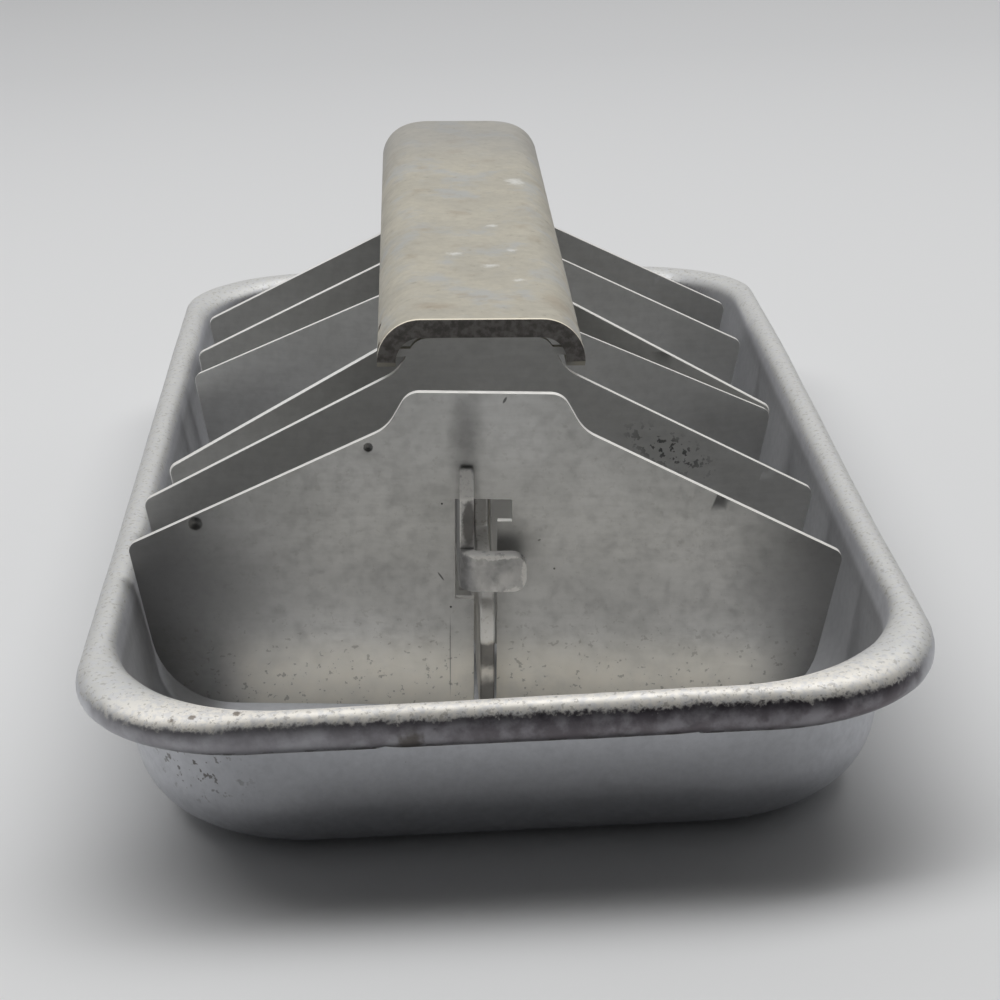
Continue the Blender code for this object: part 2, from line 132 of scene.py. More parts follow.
def ramp(tree, value, low, high, to_low=0.0, to_high=1.0):
    """A value carried smoothly from one range to another."""
    node = linked(
        tree, "ShaderNodeMapRange",
        Value=value, From_Min=low, From_Max=high, To_Min=to_low, To_Max=to_high,
    )
    node.interpolation_type = "SMOOTHSTEP"
    return node.outputs["Result"]


floor_mesh = bpy.data.meshes.new("floor")
floor_shape = bmesh.new()
bmesh.ops.create_grid(floor_shape, x_segments=1, y_segments=1, size=floor_half)
floor_shape.to_mesh(floor_mesh)
floor_shape.free()
floor = bpy.data.objects.new("floor", floor_mesh)
bpy.context.scene.collection.objects.link(floor)
floor_paint = bpy.data.materials.new("pale sweep")
floor_paint.use_nodes = True
card = floor_paint.node_tree
floor_shader = card.nodes["Principled BSDF"]
floor_y = parts_of(card, coordinate(card, "Object"))["Y"]
backward = linked(card, "ShaderNodeMapRange", Value=floor_y)
backward.inputs["From Min"].default_value, backward.inputs["From Max"].default_value = floor_light_fade
# painted light: the card's colour turns paler towards the front, for more light falling there
floor_painted_light = mixed(card, backward.outputs["Result"], floor_lit_colour_near, floor_lit_colour_far)
card.links.new(floor_painted_light, floor_shader.inputs["Base Color"])
floor_shader.inputs["Roughness"].default_value = 0.6
floor_shader.inputs["Specular IOR Level"].default_value = 0.2
floor_mesh.materials.append(floor_paint)

lamp = bpy.data.objects.new("soft lamp", bpy.data.lights.new("soft lamp", "AREA"))
lamp.data.shape = "RECTANGLE"
lamp.data.size, lamp.data.size_y = lamp_size
lamp.data.energy = lamp_watts
lamp.location = lamp_place
lamp.rotation_euler = (lamp_aim - lamp_place).to_track_quat("-Z", "Y").to_euler()
bpy.context.scene.collection.objects.link(lamp)

world = bpy.data.worlds.new("surround")
bpy.context.scene.world = world
world.use_nodes = True
sky = world.node_tree
background = sky.nodes["Background"]
sky_y = parts_of(sky, coordinate(sky, "Generated"))["Y"]
front_to_back = ramp(sky, sky_y, *surround_fade, surround_front, surround_back)
sky.links.new(front_to_back, background.inputs["Strength"])
background.inputs["Color"].default_value = (*surround_colour, 1)


# Pan. One sheet of aluminium, drawn in a press and then rolled over at its rim. The bead is worn
# bright on top and painted pale there as a highlight, grimy and painted dark as shade on its side,
# and its free edge underneath is ragged with nicks and pits.

rim_half_width, rim_half_length, pan_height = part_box("tray_pan")[1]
pan_sheet = 0.0012
bead_radius = 0.0025
bead_tuck = radians(66)
rim_corner = 0.023
wall_corner = 0.028
floor_corner = 0.017
wall_flare = radians(10)
near_flare = radians(13.2)
floor_fillet = 0.011
corner_steps = 24
long_steps = 150
short_steps = 64
bead_steps = 22
wall_steps = 8
fillet_steps = 12
near_start = 0.030
near_length = 0.070
far_start = 0.015
far_length = 0.100
near_lift, near_lift_right = 0.0010, 0.0004
far_drop, far_drop_right = 0.0019, 0.0012
wall_buckle = 0.00009
sharp_angle = radians(38)


def bead_end(x, y):
    """Angle at which the bead's ragged edge stops, at this place of the rim."""
    slow = noise(Vector((x * 90, y * 90, 3.1)))
    quick = noise(Vector((x * 520, y * 520, 7.7)))
    nick = max(0, noise(Vector((x * 240, y * 240, 12.3))) - 0.42)
    return pi + bead_tuck + 0.09 * slow + 0.10 * quick - 1.7 * nick


def bead_swell(x, y, turn):
    """How far the bead stands out from a true round at this place: hammered and knocked."""
    broad = noise(Vector((x * 60, y * 60, turn * 0.7)))
    fine = noise(Vector((x * 330, y * 330, turn * 2.2 + 5)))
    return 0.00007 * broad + 0.000035 * fine


def gently(share):
    """A share that rises from 0 to 1 with a soft start and a soft end, and stops there."""
    share = min(1, max(0, share))
    return share * share * (3 - 2 * share)


def nearness(y):
    """0 along most of the tray, and 1 from its near corners on."""
    return gently((-y - near_start) / near_length)


def rim_rise(x, y, share):
    """How far the rim stands above a level one. Share is 0 at its outer lip and 1 on its crest.

    Its near run is drawn up a little, more at the right, and its far right corner is knocked down.
    """
    far = max(0, (y - far_start) / far_length)
    crest = nearness(y) * (near_lift + near_lift_right * x / rim_half_width) * share
    return crest - far * far * (far_drop + far_drop_right * x / rim_half_width)


def rim_stations():
    """Where each point of a ring lies: its corner, its angle there, and how far on to the next."""
    stations = []
    for corner in range(4):
        start = (corner - 1) * pi / 2
        for step in range(corner_steps + 1):
            stations.append((corner, start + pi / 2 * step / corner_steps, 0))
        side_steps = short_steps if corner % 2 else long_steps
        for step in range(1, side_steps):
            stations.append((corner, start + pi / 2, step / side_steps))
    return stations


def corner_radius(inset, depth=0):
    """Radius of the plan at a corner: wider under the bead than at it, and tight at the floor."""
    under = rim_corner + (wall_corner - rim_corner) * min(1, inset / (2 * bead_radius))
    return under + (floor_corner - wall_corner) * depth**3


def corner_point(corner, turn, inset, radius):
    """A point of the pan's plan on one of its rounded corners, counted from the near right one."""
    side_x, side_y = ((1, -1), (1, 1), (-1, 1), (-1, -1))[corner]
    x = side_x * (rim_half_width - inset - radius) + radius * cos(turn)
    y = side_y * (rim_half_length - inset - radius) + radius * sin(turn)
    return Vector((x, y))


def rim_point(station, inset, radius):
    """A point of the pan's plan at a station, this far in from the rim's outside."""
    corner, turn, along = station
    first = corner_point(corner, turn, inset, radius)
    if not along:
        return first
    return first.lerp(corner_point((corner + 1) % 4, turn, inset, radius), along)


def wall_point(station, inset, height, rise=0):
    """A point of the wall or the floor. The near wall leans in a little more than the others."""
    x, y = rim_point(station, inset, corner_radius(inset, 1 - height / pan_height))
    lean = (wall_start_height - height) * (tan(near_flare) - tan(wall_flare))
    return Vector((x, y + lean * nearness(y), height + rise))


def object_from(shape, name, material):
    """An object made from a bmesh, in world space, smooth but for its sharp edges."""
    mesh = bpy.data.meshes.new(name)
    bmesh.ops.recalc_face_normals(shape, faces=shape.faces)
    shape.to_mesh(mesh)
    shape.free()
    mesh.materials.append(material)
    mesh.shade_smooth()
    mesh.set_sharp_from_angle(angle=sharp_angle)
    thing = bpy.data.objects.new(name, mesh)
    bpy.context.scene.collection.objects.link(thing)
    return thing


def times(tree, first, second, operation="MULTIPLY"):
    """Two numbers multiplied, or joined by another operation, as an output."""
    node = tree.nodes.new("ShaderNodeMath")
    node.operation = operation
    for socket, value in zip(node.inputs, (first, second)):
        if isinstance(value, bpy.types.NodeSocket):
            tree.links.new(value, socket)
        else:
            socket.default_value = value
    return node.outputs["Value"]


def grain(tree, place, size, detail=4.0, stretch=(1, 1, 1), roughness=0.6):
    """Noise with marks of about this size, drawn out along an axis where stretch is small."""
    scale = tuple(s / size for s in stretch)
    mapping = linked(tree, "ShaderNodeMapping", Vector=place, Scale=scale)
    texture = linked(
        tree, "ShaderNodeTexNoise",
        Vector=mapping.outputs["Vector"], Scale=1.0, Detail=detail, Roughness=roughness,
    )
    return texture.outputs["Fac"]


def aluminium(name, bright, dull, polish, cloud=0.02, drawn=(1, 1, 1), pits=0.5, relief=1.0):
    """Aged sheet: cloudy tone, fine mottling, rolling lines, pits, and an uneven polish.

    Returns the material with its tree, place, colour and roughness outputs, for marks of its own.
    """
    material = bpy.data.materials.new(name)
    material.use_nodes = True
    tree = material.node_tree
    place = coordinate(tree, "Object")
    clouds = grain(tree, place, cloud, 5)
    mottle = grain(tree, place, 0.0016, 3)
    lines = grain(tree, place, 0.0009, 2, drawn)
    spots = grain(tree, place, 0.0011, 2, roughness=0.4)
    colour = mixed(tree, ramp(tree, clouds, 0.3, 0.7), dull, bright)
    mottling, lining = ramp(tree, mottle, 0.35, 0.75, 0, 0.22), ramp(tree, lines, 0.3, 0.7, 0.16, 0)
    for factor, depth in ((mottling, 0.72), (lining, 0.75)):
        colour = mixed(tree, factor, colour, tuple(depth * c for c in dull))
    pitted = ramp(tree, spots, 0.80 - 0.13 * pits, 0.86 - 0.13 * pits)
    colour = mixed(tree, times(tree, pitted, 0.75), colour, (0.10, 0.095, 0.09))
    rough = ramp(tree, clouds, 0.25, 0.75, polish[1], polish[0])
    rough = times(tree, rough, ramp(tree, mottle, 0.3, 0.8, 0, 0.10), "ADD")
    height = times(tree, lines, 0.35)
    height = times(tree, height, times(tree, mottle, 0.6), "ADD")
    height = times(tree, height, times(tree, pitted, -1.2), "ADD")
    bump = linked(tree, "ShaderNodeBump", Height=height, Strength=0.35 * relief, Distance=0.00012)
    shader = tree.nodes["Principled BSDF"]
    shader.inputs["Metallic"].default_value = 1.0
    tree.links.new(bump.outputs["Normal"], shader.inputs["Normal"])
    return material, tree, place, colour, rough


def finish_metal(tree, colour, rough):
    """Joins the colour and the roughness to the metal's shader."""
    shader = tree.nodes["Principled BSDF"]
    tree.links.new(colour, shader.inputs["Base Color"])
    tree.links.new(rough, shader.inputs["Roughness"])


def vector_node(tree, operation, first, second=None):
    """An operation on one output or on two, as a vector node."""
    node = tree.nodes.new("ShaderNodeVectorMath")
    node.operation = operation
    tree.links.new(first, node.inputs[0])
    if second is not None:
        tree.links.new(second, node.inputs[1])
    return node


def mark(tree, place, centre, size, soft=0.5, turn=0.0, ragged=0.0):
    """A soft oval patch: 1 inside and 0 outside, its edge broken up where ragged isn't 0."""
    if ragged:
        narrowest = min(size[:2])
        crumble = linked(tree, "ShaderNodeTexNoise", Vector=place, Scale=2.5 / narrowest, Detail=4)
        shift = vector_node(tree, "SUBTRACT", crumble.outputs["Color"])
        shift.inputs[1].default_value = (0.5, 0.5, 0.5)
        scaled = vector_node(tree, "SCALE", shift.outputs["Vector"])
        scaled.inputs["Scale"].default_value = ragged * narrowest
        place = vector_node(tree, "ADD", place, scaled.outputs["Vector"]).outputs["Vector"]
    mapping = linked(
        tree, "ShaderNodeMapping", Vector=place, Location=centre, Rotation=(0, 0, turn), Scale=size
    )
    mapping.vector_type = "TEXTURE"
    length = vector_node(tree, "LENGTH", mapping.outputs["Vector"]).outputs["Value"]
    return ramp(tree, length, 1 - soft, 1.0, 1.0, 0.0)


def pan_metal():
    """The pan's satin blue grey, with a bright worn bead painted with highlight and shade, painted
    light and shade inside, pits by one corner and a dark stain.
    """
    material, tree, place, colour, rough = aluminium(
        "drawn aluminium", (0.66, 0.67, 0.70), (0.56, 0.57, 0.60), (0.30, 0.42),
        cloud=0.03, pits=0.1, relief=0.7,
    )
    apart = parts_of(tree, place)
    heights = apart["Z"]
    normal = coordinate(tree, "Normal")
    faces = parts_of(tree, normal)

    # the bead: grimy and painted dark as shade on its side and darkest below, rubbed bare along its
    # crest and painted pale there as a highlight
    bead = ramp(tree, heights, pan_height - 0.0062, pan_height - 0.0048)
    coarse = times(tree, grain(tree, place, 0.0040, 3), 0.5)
    fuzz = times(tree, grain(tree, place, 0.0007, 4), coarse, "ADD")
    tilt = times(tree, faces["Z"], times(tree, fuzz, 0.9), "ADD")
    crest = times(tree, bead, ramp(tree, tilt, 1.00, 1.36))
    front = ramp(tree, faces["Y"], -0.80, -0.35, 1, 0)
    grime = ramp(tree, grain(tree, place, 0.0035, 6), 0.36, 0.60, 0.72, 1.0)
    # painted shade on the bead's side, most where it faces the front and to the right, over grime
    bead_grime_and_shade = times(tree, times(tree, bead, ramp(tree, crest, 0, 1, 1, 0)), grime)
    to_right = ramp(tree, apart["X"], -0.045, 0.010, 0.45, 0.85)
    bead_grime_and_shade = times(tree, bead_grime_and_shade, times(tree, times(tree, front, to_right), 0.12, "ADD"))
    colour = mixed(tree, bead_grime_and_shade, colour, (0.22, 0.20, 0.215))
    # painted shade at its darkest, on the upper part of the bead's side, more to the right
    shoulder_shade = times(tree, times(tree, bead_grime_and_shade, to_right), ramp(tree, faces["Z"], -0.35, 0.35))
    colour = mixed(tree, shoulder_shade, colour, (0.045, 0.04, 0.05))
    # painted highlight along the crest, which is also rubbed bare; cream along the near run
    worn_and_lit = times(tree, crest, ramp(tree, grain(tree, place, 0.0010, 5), 0.38, 0.56, 0.45, 1.0))
    near_run = ramp(tree, apart["Y"], -0.1120, -0.1010, 1, 0)
    bare_and_lit = mixed(tree, near_run, (0.60, 0.60, 0.585), (0.84, 0.81, 0.75))
    colour = mixed(tree, worn_and_lit, colour, bare_and_lit)

    # soil on the crest, chips along the ragged edge underneath
    soil = times(tree, crest, ramp(tree, grain(tree, place, 0.0007, 3), 0.57, 0.64, 0, 0.50))
    colour = mixed(tree, soil, colour, (0.30, 0.28, 0.25))
    under = times(tree, bead, ramp(tree, heights, pan_height - 0.0046, pan_height - 0.0036, 1, 0))
    chipped = times(tree, under, ramp(tree, grain(tree, place, 0.0018, 5), 0.50, 0.56))
    outward = vector_node(tree, "DOT_PRODUCT", normal, place).outputs["Value"]
    inner_face = ramp(tree, outward, -0.020, 0.004, 1, 0)
    chipped = times(tree, chipped, ramp(tree, inner_face, 0, 1, 1, 0))
    colour = mixed(tree, times(tree, chipped, 0.85), colour, (0.13, 0.12, 0.115))

    # inside: a painted pool of light on the floor at the near end, painted shade on the side walls,
    # and a stain by the first plate
    # painted light: the floor in front of the first plate is painted pale, as if the lamp lit it
    near_floor_painted_light = times(tree, inner_face, ramp(tree, apart["Y"], -0.0690, -0.0650, 1, 0))
    aside = times(tree, apart["X"], apart["X"])
    near_floor_painted_light = times(tree, near_floor_painted_light, ramp(tree, aside, 0.0012, 0.0022, 1, 0))
    colour = mixed(tree, times(tree, near_floor_painted_light, 0.9), colour, (0.95, 0.93, 0.88))
    below_bead = ramp(tree, heights, pan_height - 0.0040, pan_height - 0.0022, 1, 0)
    # painted shade on the inner side walls under the bead, deeper on the right
    side_wall_shade = times(tree, times(tree, inner_face, ramp(tree, aside, 0.0016, 0.0023)), below_bead)
    side_wall_shade = times(tree, side_wall_shade, ramp(tree, apart["X"], -0.01, 0.01, 0.42, 0.66))
    colour = mixed(tree, side_wall_shade, colour, (0.20, 0.20, 0.205))
    inner_stain = mark(tree, place, (-0.038, -0.0565, 0.004), (0.026, 0.0105, 0.009), 0.5, 0, 0.5)
    inner_stain = times(tree, times(tree, inner_stain, inner_face), 0.85)
    colour = mixed(tree, inner_stain, colour, (0.17, 0.17, 0.17))

    # outside: a stain under the bead, four pits on its crest, and pepper by the near left corner
    stain = mark(tree, place, (-0.0135, -0.114, 0.0222), (0.0024, 0.004, 0.003), 0.6, 0, 1.2)
    colour = mixed(tree, times(tree, stain, 0.8), colour, (0.12, 0.105, 0.09))
    for x, long in ((-0.0478, 0.0006), (-0.0450, 0.0007), (-0.0421, 0.0006), (-0.0362, 0.0009)):
        centre = (x, -0.1122, pan_height + 0.0006)
        pit = mark(tree, place, centre, (0.0007, long, 0.0010), 0.5, 0, 1.0)
        colour = mixed(tree, times(tree, pit, 0.85), colour, (0.16, 0.13, 0.10))
    corner = mark(tree, place, (-0.0455, -0.1045, 0.015), (0.014, 0.012, 0.0085), 0.8)
    peppered = times(tree, corner, ramp(tree, grain(tree, place, 0.0013, 2), 0.60, 0.65))
    colour = mixed(tree, times(tree, peppered, 0.85), colour, (0.14, 0.13, 0.12))

    # oxide makes the floor and the inner faces duller than bare metal
    rough = times(tree, rough, times(tree, bead_grime_and_shade, 0.25), "ADD")
    floor_face = times(tree, ramp(tree, bead, 0, 1, 1, 0), ramp(tree, faces["Z"], 0.30, 0.80))
    oxide = times(tree, times(tree, crest, floor_face, "MAXIMUM"), inner_face, "MAXIMUM")
    rubbed = times(tree, ramp(tree, near_run, 0, 1, 0.30, 0), crest)
    sheen = times(tree, ramp(tree, oxide, 0, 1, 1, 0.30), rubbed, "ADD")
    shader = tree.nodes["Principled BSDF"]
    tree.links.new(times(tree, sheen, 1.0, "MINIMUM"), shader.inputs["Metallic"])
    rough = times(tree, rough, times(tree, oxide, 0.12), "ADD")
    finish_metal(tree, colour, rough)
    return material


fillet_height = pan_sheet + floor_fillet
wall_start_height = pan_height - bead_radius * (1 - sin(wall_flare))
wall_start_inset = bead_radius * (1 + cos(wall_flare))
wall_end_height = fillet_height - floor_fillet * sin(wall_flare)
wall_end_inset = wall_start_inset + (wall_start_height - wall_end_height) * tan(wall_flare)
fillet_inset = wall_end_inset + floor_fillet * cos(wall_flare)

pan_shape = bmesh.new()
pan_rows = []
stations = rim_stations()
rim = [rim_point(station, 0, rim_corner) for station in stations]
for step in range(bead_steps + 1):
    row = []
    for station, (x, y) in zip(stations, rim):
        start = bead_end(x, y)
        turn = start + (wall_flare - start) * step / bead_steps
        radius = bead_radius + bead_swell(x, y, turn)
        inset = bead_radius + radius * cos(turn)
        point = rim_point(station, inset, corner_radius(inset))
        lift = rim_rise(x, y, gently(0.5 + sin(turn)))
        height = pan_height - bead_radius + radius * sin(turn) + lift
        row.append(pan_shape.verts.new((*point, height)))
    pan_rows.append(row)
for step in range(1, wall_steps + 1):
    share = step / wall_steps
    inset = wall_start_inset + (wall_end_inset - wall_start_inset) * share
    height = wall_start_height + (wall_end_height - wall_start_height) * share
    row = []
    for station in stations:
        x, y, _ = wall_point(station, inset, height)
        buckle = wall_buckle * sin(pi * share) * noise(Vector((x * 28, y * 28, 2.0)))
        lift = rim_rise(x, y, 1) * (1 - share)
        row.append(pan_shape.verts.new(wall_point(station, inset + buckle, height, lift)))
    pan_rows.append(row)
for step in range(1, fillet_steps + 1):
    turn = pi + wall_flare + (pi / 2 - wall_flare) * step / fillet_steps
    inset = fillet_inset + floor_fillet * cos(turn)
    height = fillet_height + floor_fillet * sin(turn)
    ring = [wall_point(station, inset, height) for station in stations]
    pan_rows.append([pan_shape.verts.new(point) for point in ring])
for row, after in zip(pan_rows, pan_rows[1:]):
    for i in range(len(row)):
        k = (i + 1) % len(row)
        pan_shape.faces.new((row[i], row[k], after[k], after[i]))
pan_shape.faces.new(pan_rows[-1])
pan = object_from(pan_shape, "pan", pan_metal())
pan_thickness = pan.modifiers.new("Sheet", "SOLIDIFY")
pan_thickness.thickness = pan_sheet
pan_thickness.offset = -1
pan_thickness.use_even_offset = True
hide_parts("tray_pan")
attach(pan, "pan")


# Cross plates. Six bell-shaped blanks stamped from sheet, with a stepped slot for the bars. They
# stand loose on the bars, each turned a little, and their cut edges have stayed bright.

grid_lean = radians(2.2)
grid_shift = -0.00115
plate_sheet = 0.0012
plate_half_width = 0.0538
plate_foot = -0.0229
plate_corner_height = 0.0030
plate_slope = radians(25.9)
plate_taper = radians(11)
foot_round = 0.0125
corner_round = 0.0016
neck_top = 0.0277
neck_half_width = 0.0114
neck_flare = radians(29.2)
neck_round = 0.0030
waist_round = 0.0060
lever_plate = 1
lever_plate_slope = radians(27.3)
lever_plate_top = 0.0292
plate_places = (-0.0638, -0.0406, -0.0133, 0.0125, 0.0392, 0.0629)
plate_turns = tuple(radians(turn) for turn in (-3.3, 1.4, 14.6, -11.4, 3.2, 4.8))
plate_plays = (-0.0008, -0.0006, 0.0, 0.0004, 0.0002, 0.0004)
plate_trims = (0.0, 0.0004, 0.0006, 0.0012, 0.0019, 0.0020)
plate_rock = radians(6.4)
bar_sheet = 0.00208
bar_gap = 0.0009
lower_bar_middle = -0.0006
slide_bar_middle = lower_bar_middle - bar_sheet - bar_gap
slot_play = 0.00035
narrow_play = 0.0006
slot_step = -0.0050
slot_top = 0.0111
key_width = 0.0022
key_bottom = 0.0076
pivot_height = 0.0269
tongue_width = 0.0013
tongue_reach = 0.0159
point_spacing = 0.0026
edge_wear = 0.00013
cut_angle = radians(40)

grid_matrix = Matrix.Translation((grid_shift, 0, pan_height)) @ Matrix.Rotation(grid_lean, 4, "Y")
upright = Matrix.Rotation(pi / 2, 4, "X")


def rounded(corners, steps=10):
    """A closed outline with each corner (x, y, radius) rounded off."""
    outline = []
    for i, (x, y, radius) in enumerate(corners):
        corner = Vector((x, y))
        if radius == 0:
            outline.append(corner)
            continue
        before = (Vector(corners[i - 1][:2]) - corner).normalized()
        after = (Vector(corners[(i + 1) % len(corners)][:2]) - corner).normalized()
        half = before.angle(after) / 2
        middle = corner + (before + after).normalized() * (radius / sin(half))
        first = corner + before * (radius / tan(half)) - middle
        swing = first.angle_signed(corner + after * (radius / tan(half)) - middle)
        for step in range(steps + 1):
            outline.append(middle + Matrix.Rotation(-swing * step / steps, 2) @ first)
    return outline


def bell_side(index):
    """The right side of a plate from foot to neck. Plate number two also has the lever's tongue."""
    half_width = plate_half_width - plate_trims[index]
    neck = neck_half_width - plate_trims[index]
    slope = tan(lever_plate_slope if index == lever_plate else plate_slope)
    top = lever_plate_top if index == lever_plate else neck_top
    flare = tan(neck_flare)
    above = neck_top - plate_corner_height - half_width * slope
    waist = (neck + flare * above) / (1 - flare * slope)
    corner = plate_corner_height - plate_foot
    side = [
        (half_width - corner * tan(plate_taper), 0, foot_round),
        (half_width, corner, corner_round),
        (waist, corner + (half_width - waist) * slope, waist_round),
        (neck - (top - neck_top) * flare, top - plate_foot, neck_round),
    ]
    if index == lever_plate:
        low = pivot_height - tongue_width / 2 - plate_foot
        high = low + tongue_width
        under, over = (neck - (level + plate_foot - neck_top) * flare for level in (low, high))
        tongue = [(under, low, 0), (tongue_reach, low, 0), (tongue_reach, high, 0), (over, high, 0)]
        side[3:3] = tongue
    return side


def across_plate(index, left, right, play, height):
    """Left and right of a slot, wide enough for the plate's turn and for how it rocks."""
    turn = plate_turns[index]
    room = play + plate_sheet / 2 * abs(tan(turn))
    sweep = 0 if index == lever_plate else height * tan(plate_rock) * tan(turn)
    low = (left - plate_plays[index]) / cos(turn) - room + min(0, sweep)
    high = (right - plate_plays[index]) / cos(turn) + room + max(0, sweep)
    return low, high


def plate_outline(index):
    """The bell and its slot, with y up from the foot."""
    side = bell_side(index)
    left = [(-x, y, radius) for x, y, radius in reversed(side)]
    low_left = lower_bar_middle - bar_sheet / 2
    low_right = lower_bar_middle + bar_sheet / 2
    high_left = slide_bar_middle - bar_sheet / 2
    step, top, key = slot_step - plate_foot, slot_top - plate_foot, key_bottom - plate_foot
    wide_left, wide_right = across_plate(index, high_left, low_right, slot_play, top)
    narrow_left, narrow_right = across_plate(index, low_left, low_right, narrow_play, step)
    wide_right = max(wide_right, narrow_right)
    slot = [
        (narrow_left, 0, 0),
        (narrow_left, step, 0),
        (wide_left, step, 0),
        (wide_left, top, 0),
        (wide_right + key_width, top, 0),
        (wide_right + key_width, key, 0),
        (wide_right, key, 0),
        (wide_right, step, 0),
        (narrow_right, step, 0),
        (narrow_right, 0, 0),
    ]
    return rounded(side + left + slot)


def divided(outline, longest):
    """The same outline with no stretch longer than this."""
    points = []
    for first, second in zip(outline, outline[1:] + outline[:1]):
        parts = max(1, round((second - first).length / longest))
        points += [first.lerp(second, part / parts) for part in range(parts)]
    return points


def sheet_blank(outline, thickness, bend, extra=()):
    """A sheet cut to an outline, as a bmesh: x and y in the outline, z through the sheet.

    bend(x, y) is how far the sheet stands out there, and extra points are added where it is dented.
    """
    edge = divided(outline, point_spacing)
    count = len(edge)
    xs, ys = [p.x for p in edge], [p.y for p in edge]
    inner = list(extra)
    for i in range(int((max(xs) - min(xs)) / point_spacing)):
        for k in range(int((max(ys) - min(ys)) / point_spacing)):
            x = min(xs) + (i + 0.5 + 0.5 * (k % 2)) * point_spacing
            inner.append(Vector((x, min(ys) + (k + 0.5) * point_spacing)))
    edges = [(i, (i + 1) % count) for i in range(count)]
    points, _, faces, _, _, _ = delaunay_2d_cdt(edge + inner, edges, [], 1, 1e-7)
    shape = bmesh.new()
    front = [shape.verts.new((p.x, p.y, bend(p.x, p.y) + thickness / 2)) for p in points]
    back = [shape.verts.new((p.x, p.y, bend(p.x, p.y) - thickness / 2)) for p in points]
    for face in faces:
        shape.faces.new([front[i] for i in face])
        shape.faces.new([back[i] for i in reversed(face)])
    behind = dict(zip(front, back))
    rim = [e for e in shape.edges if len(e.link_faces) == 1 and e.verts[0] in behind]
    for e in rim:
        a, b = e.verts
        shape.faces.new((a, b, behind[b], behind[a]))
    for vert in [v for v in shape.verts if not v.link_faces]:
        shape.verts.remove(vert)
    return shape


def eased(thing, width):
    """Softens the cut edges of a sheet."""
    bevel = thing.modifiers.new("Edges", "BEVEL")
    bevel.width = width
    bevel.segments = 2
    bevel.limit_method = "ANGLE"
    bevel.angle_limit = cut_angle


# (x, y, radius, depth) of the blows beside the first plate's shoulder, y from the rim's top
plate_dents = {0: ((-0.0173, 0.0191, 0.0008, 0.0004), (-0.0434, 0.0067, 0.0012, 0.0005))}


def plate_bend(index):
    """How plate number index is bent: a slow bow, and a dent or two."""

    def bend(x, y):
        out = 0.0002 * noise(Vector((x * 22, y * 22, index * 3.7)))
        for dent_x, dent_y, radius, depth in plate_dents.get(index, ()):
            away = hypot(x - dent_x, y - dent_y + plate_foot) / radius
            out -= depth * max(0, 1 - away * away) ** 2
        return out

    return bend


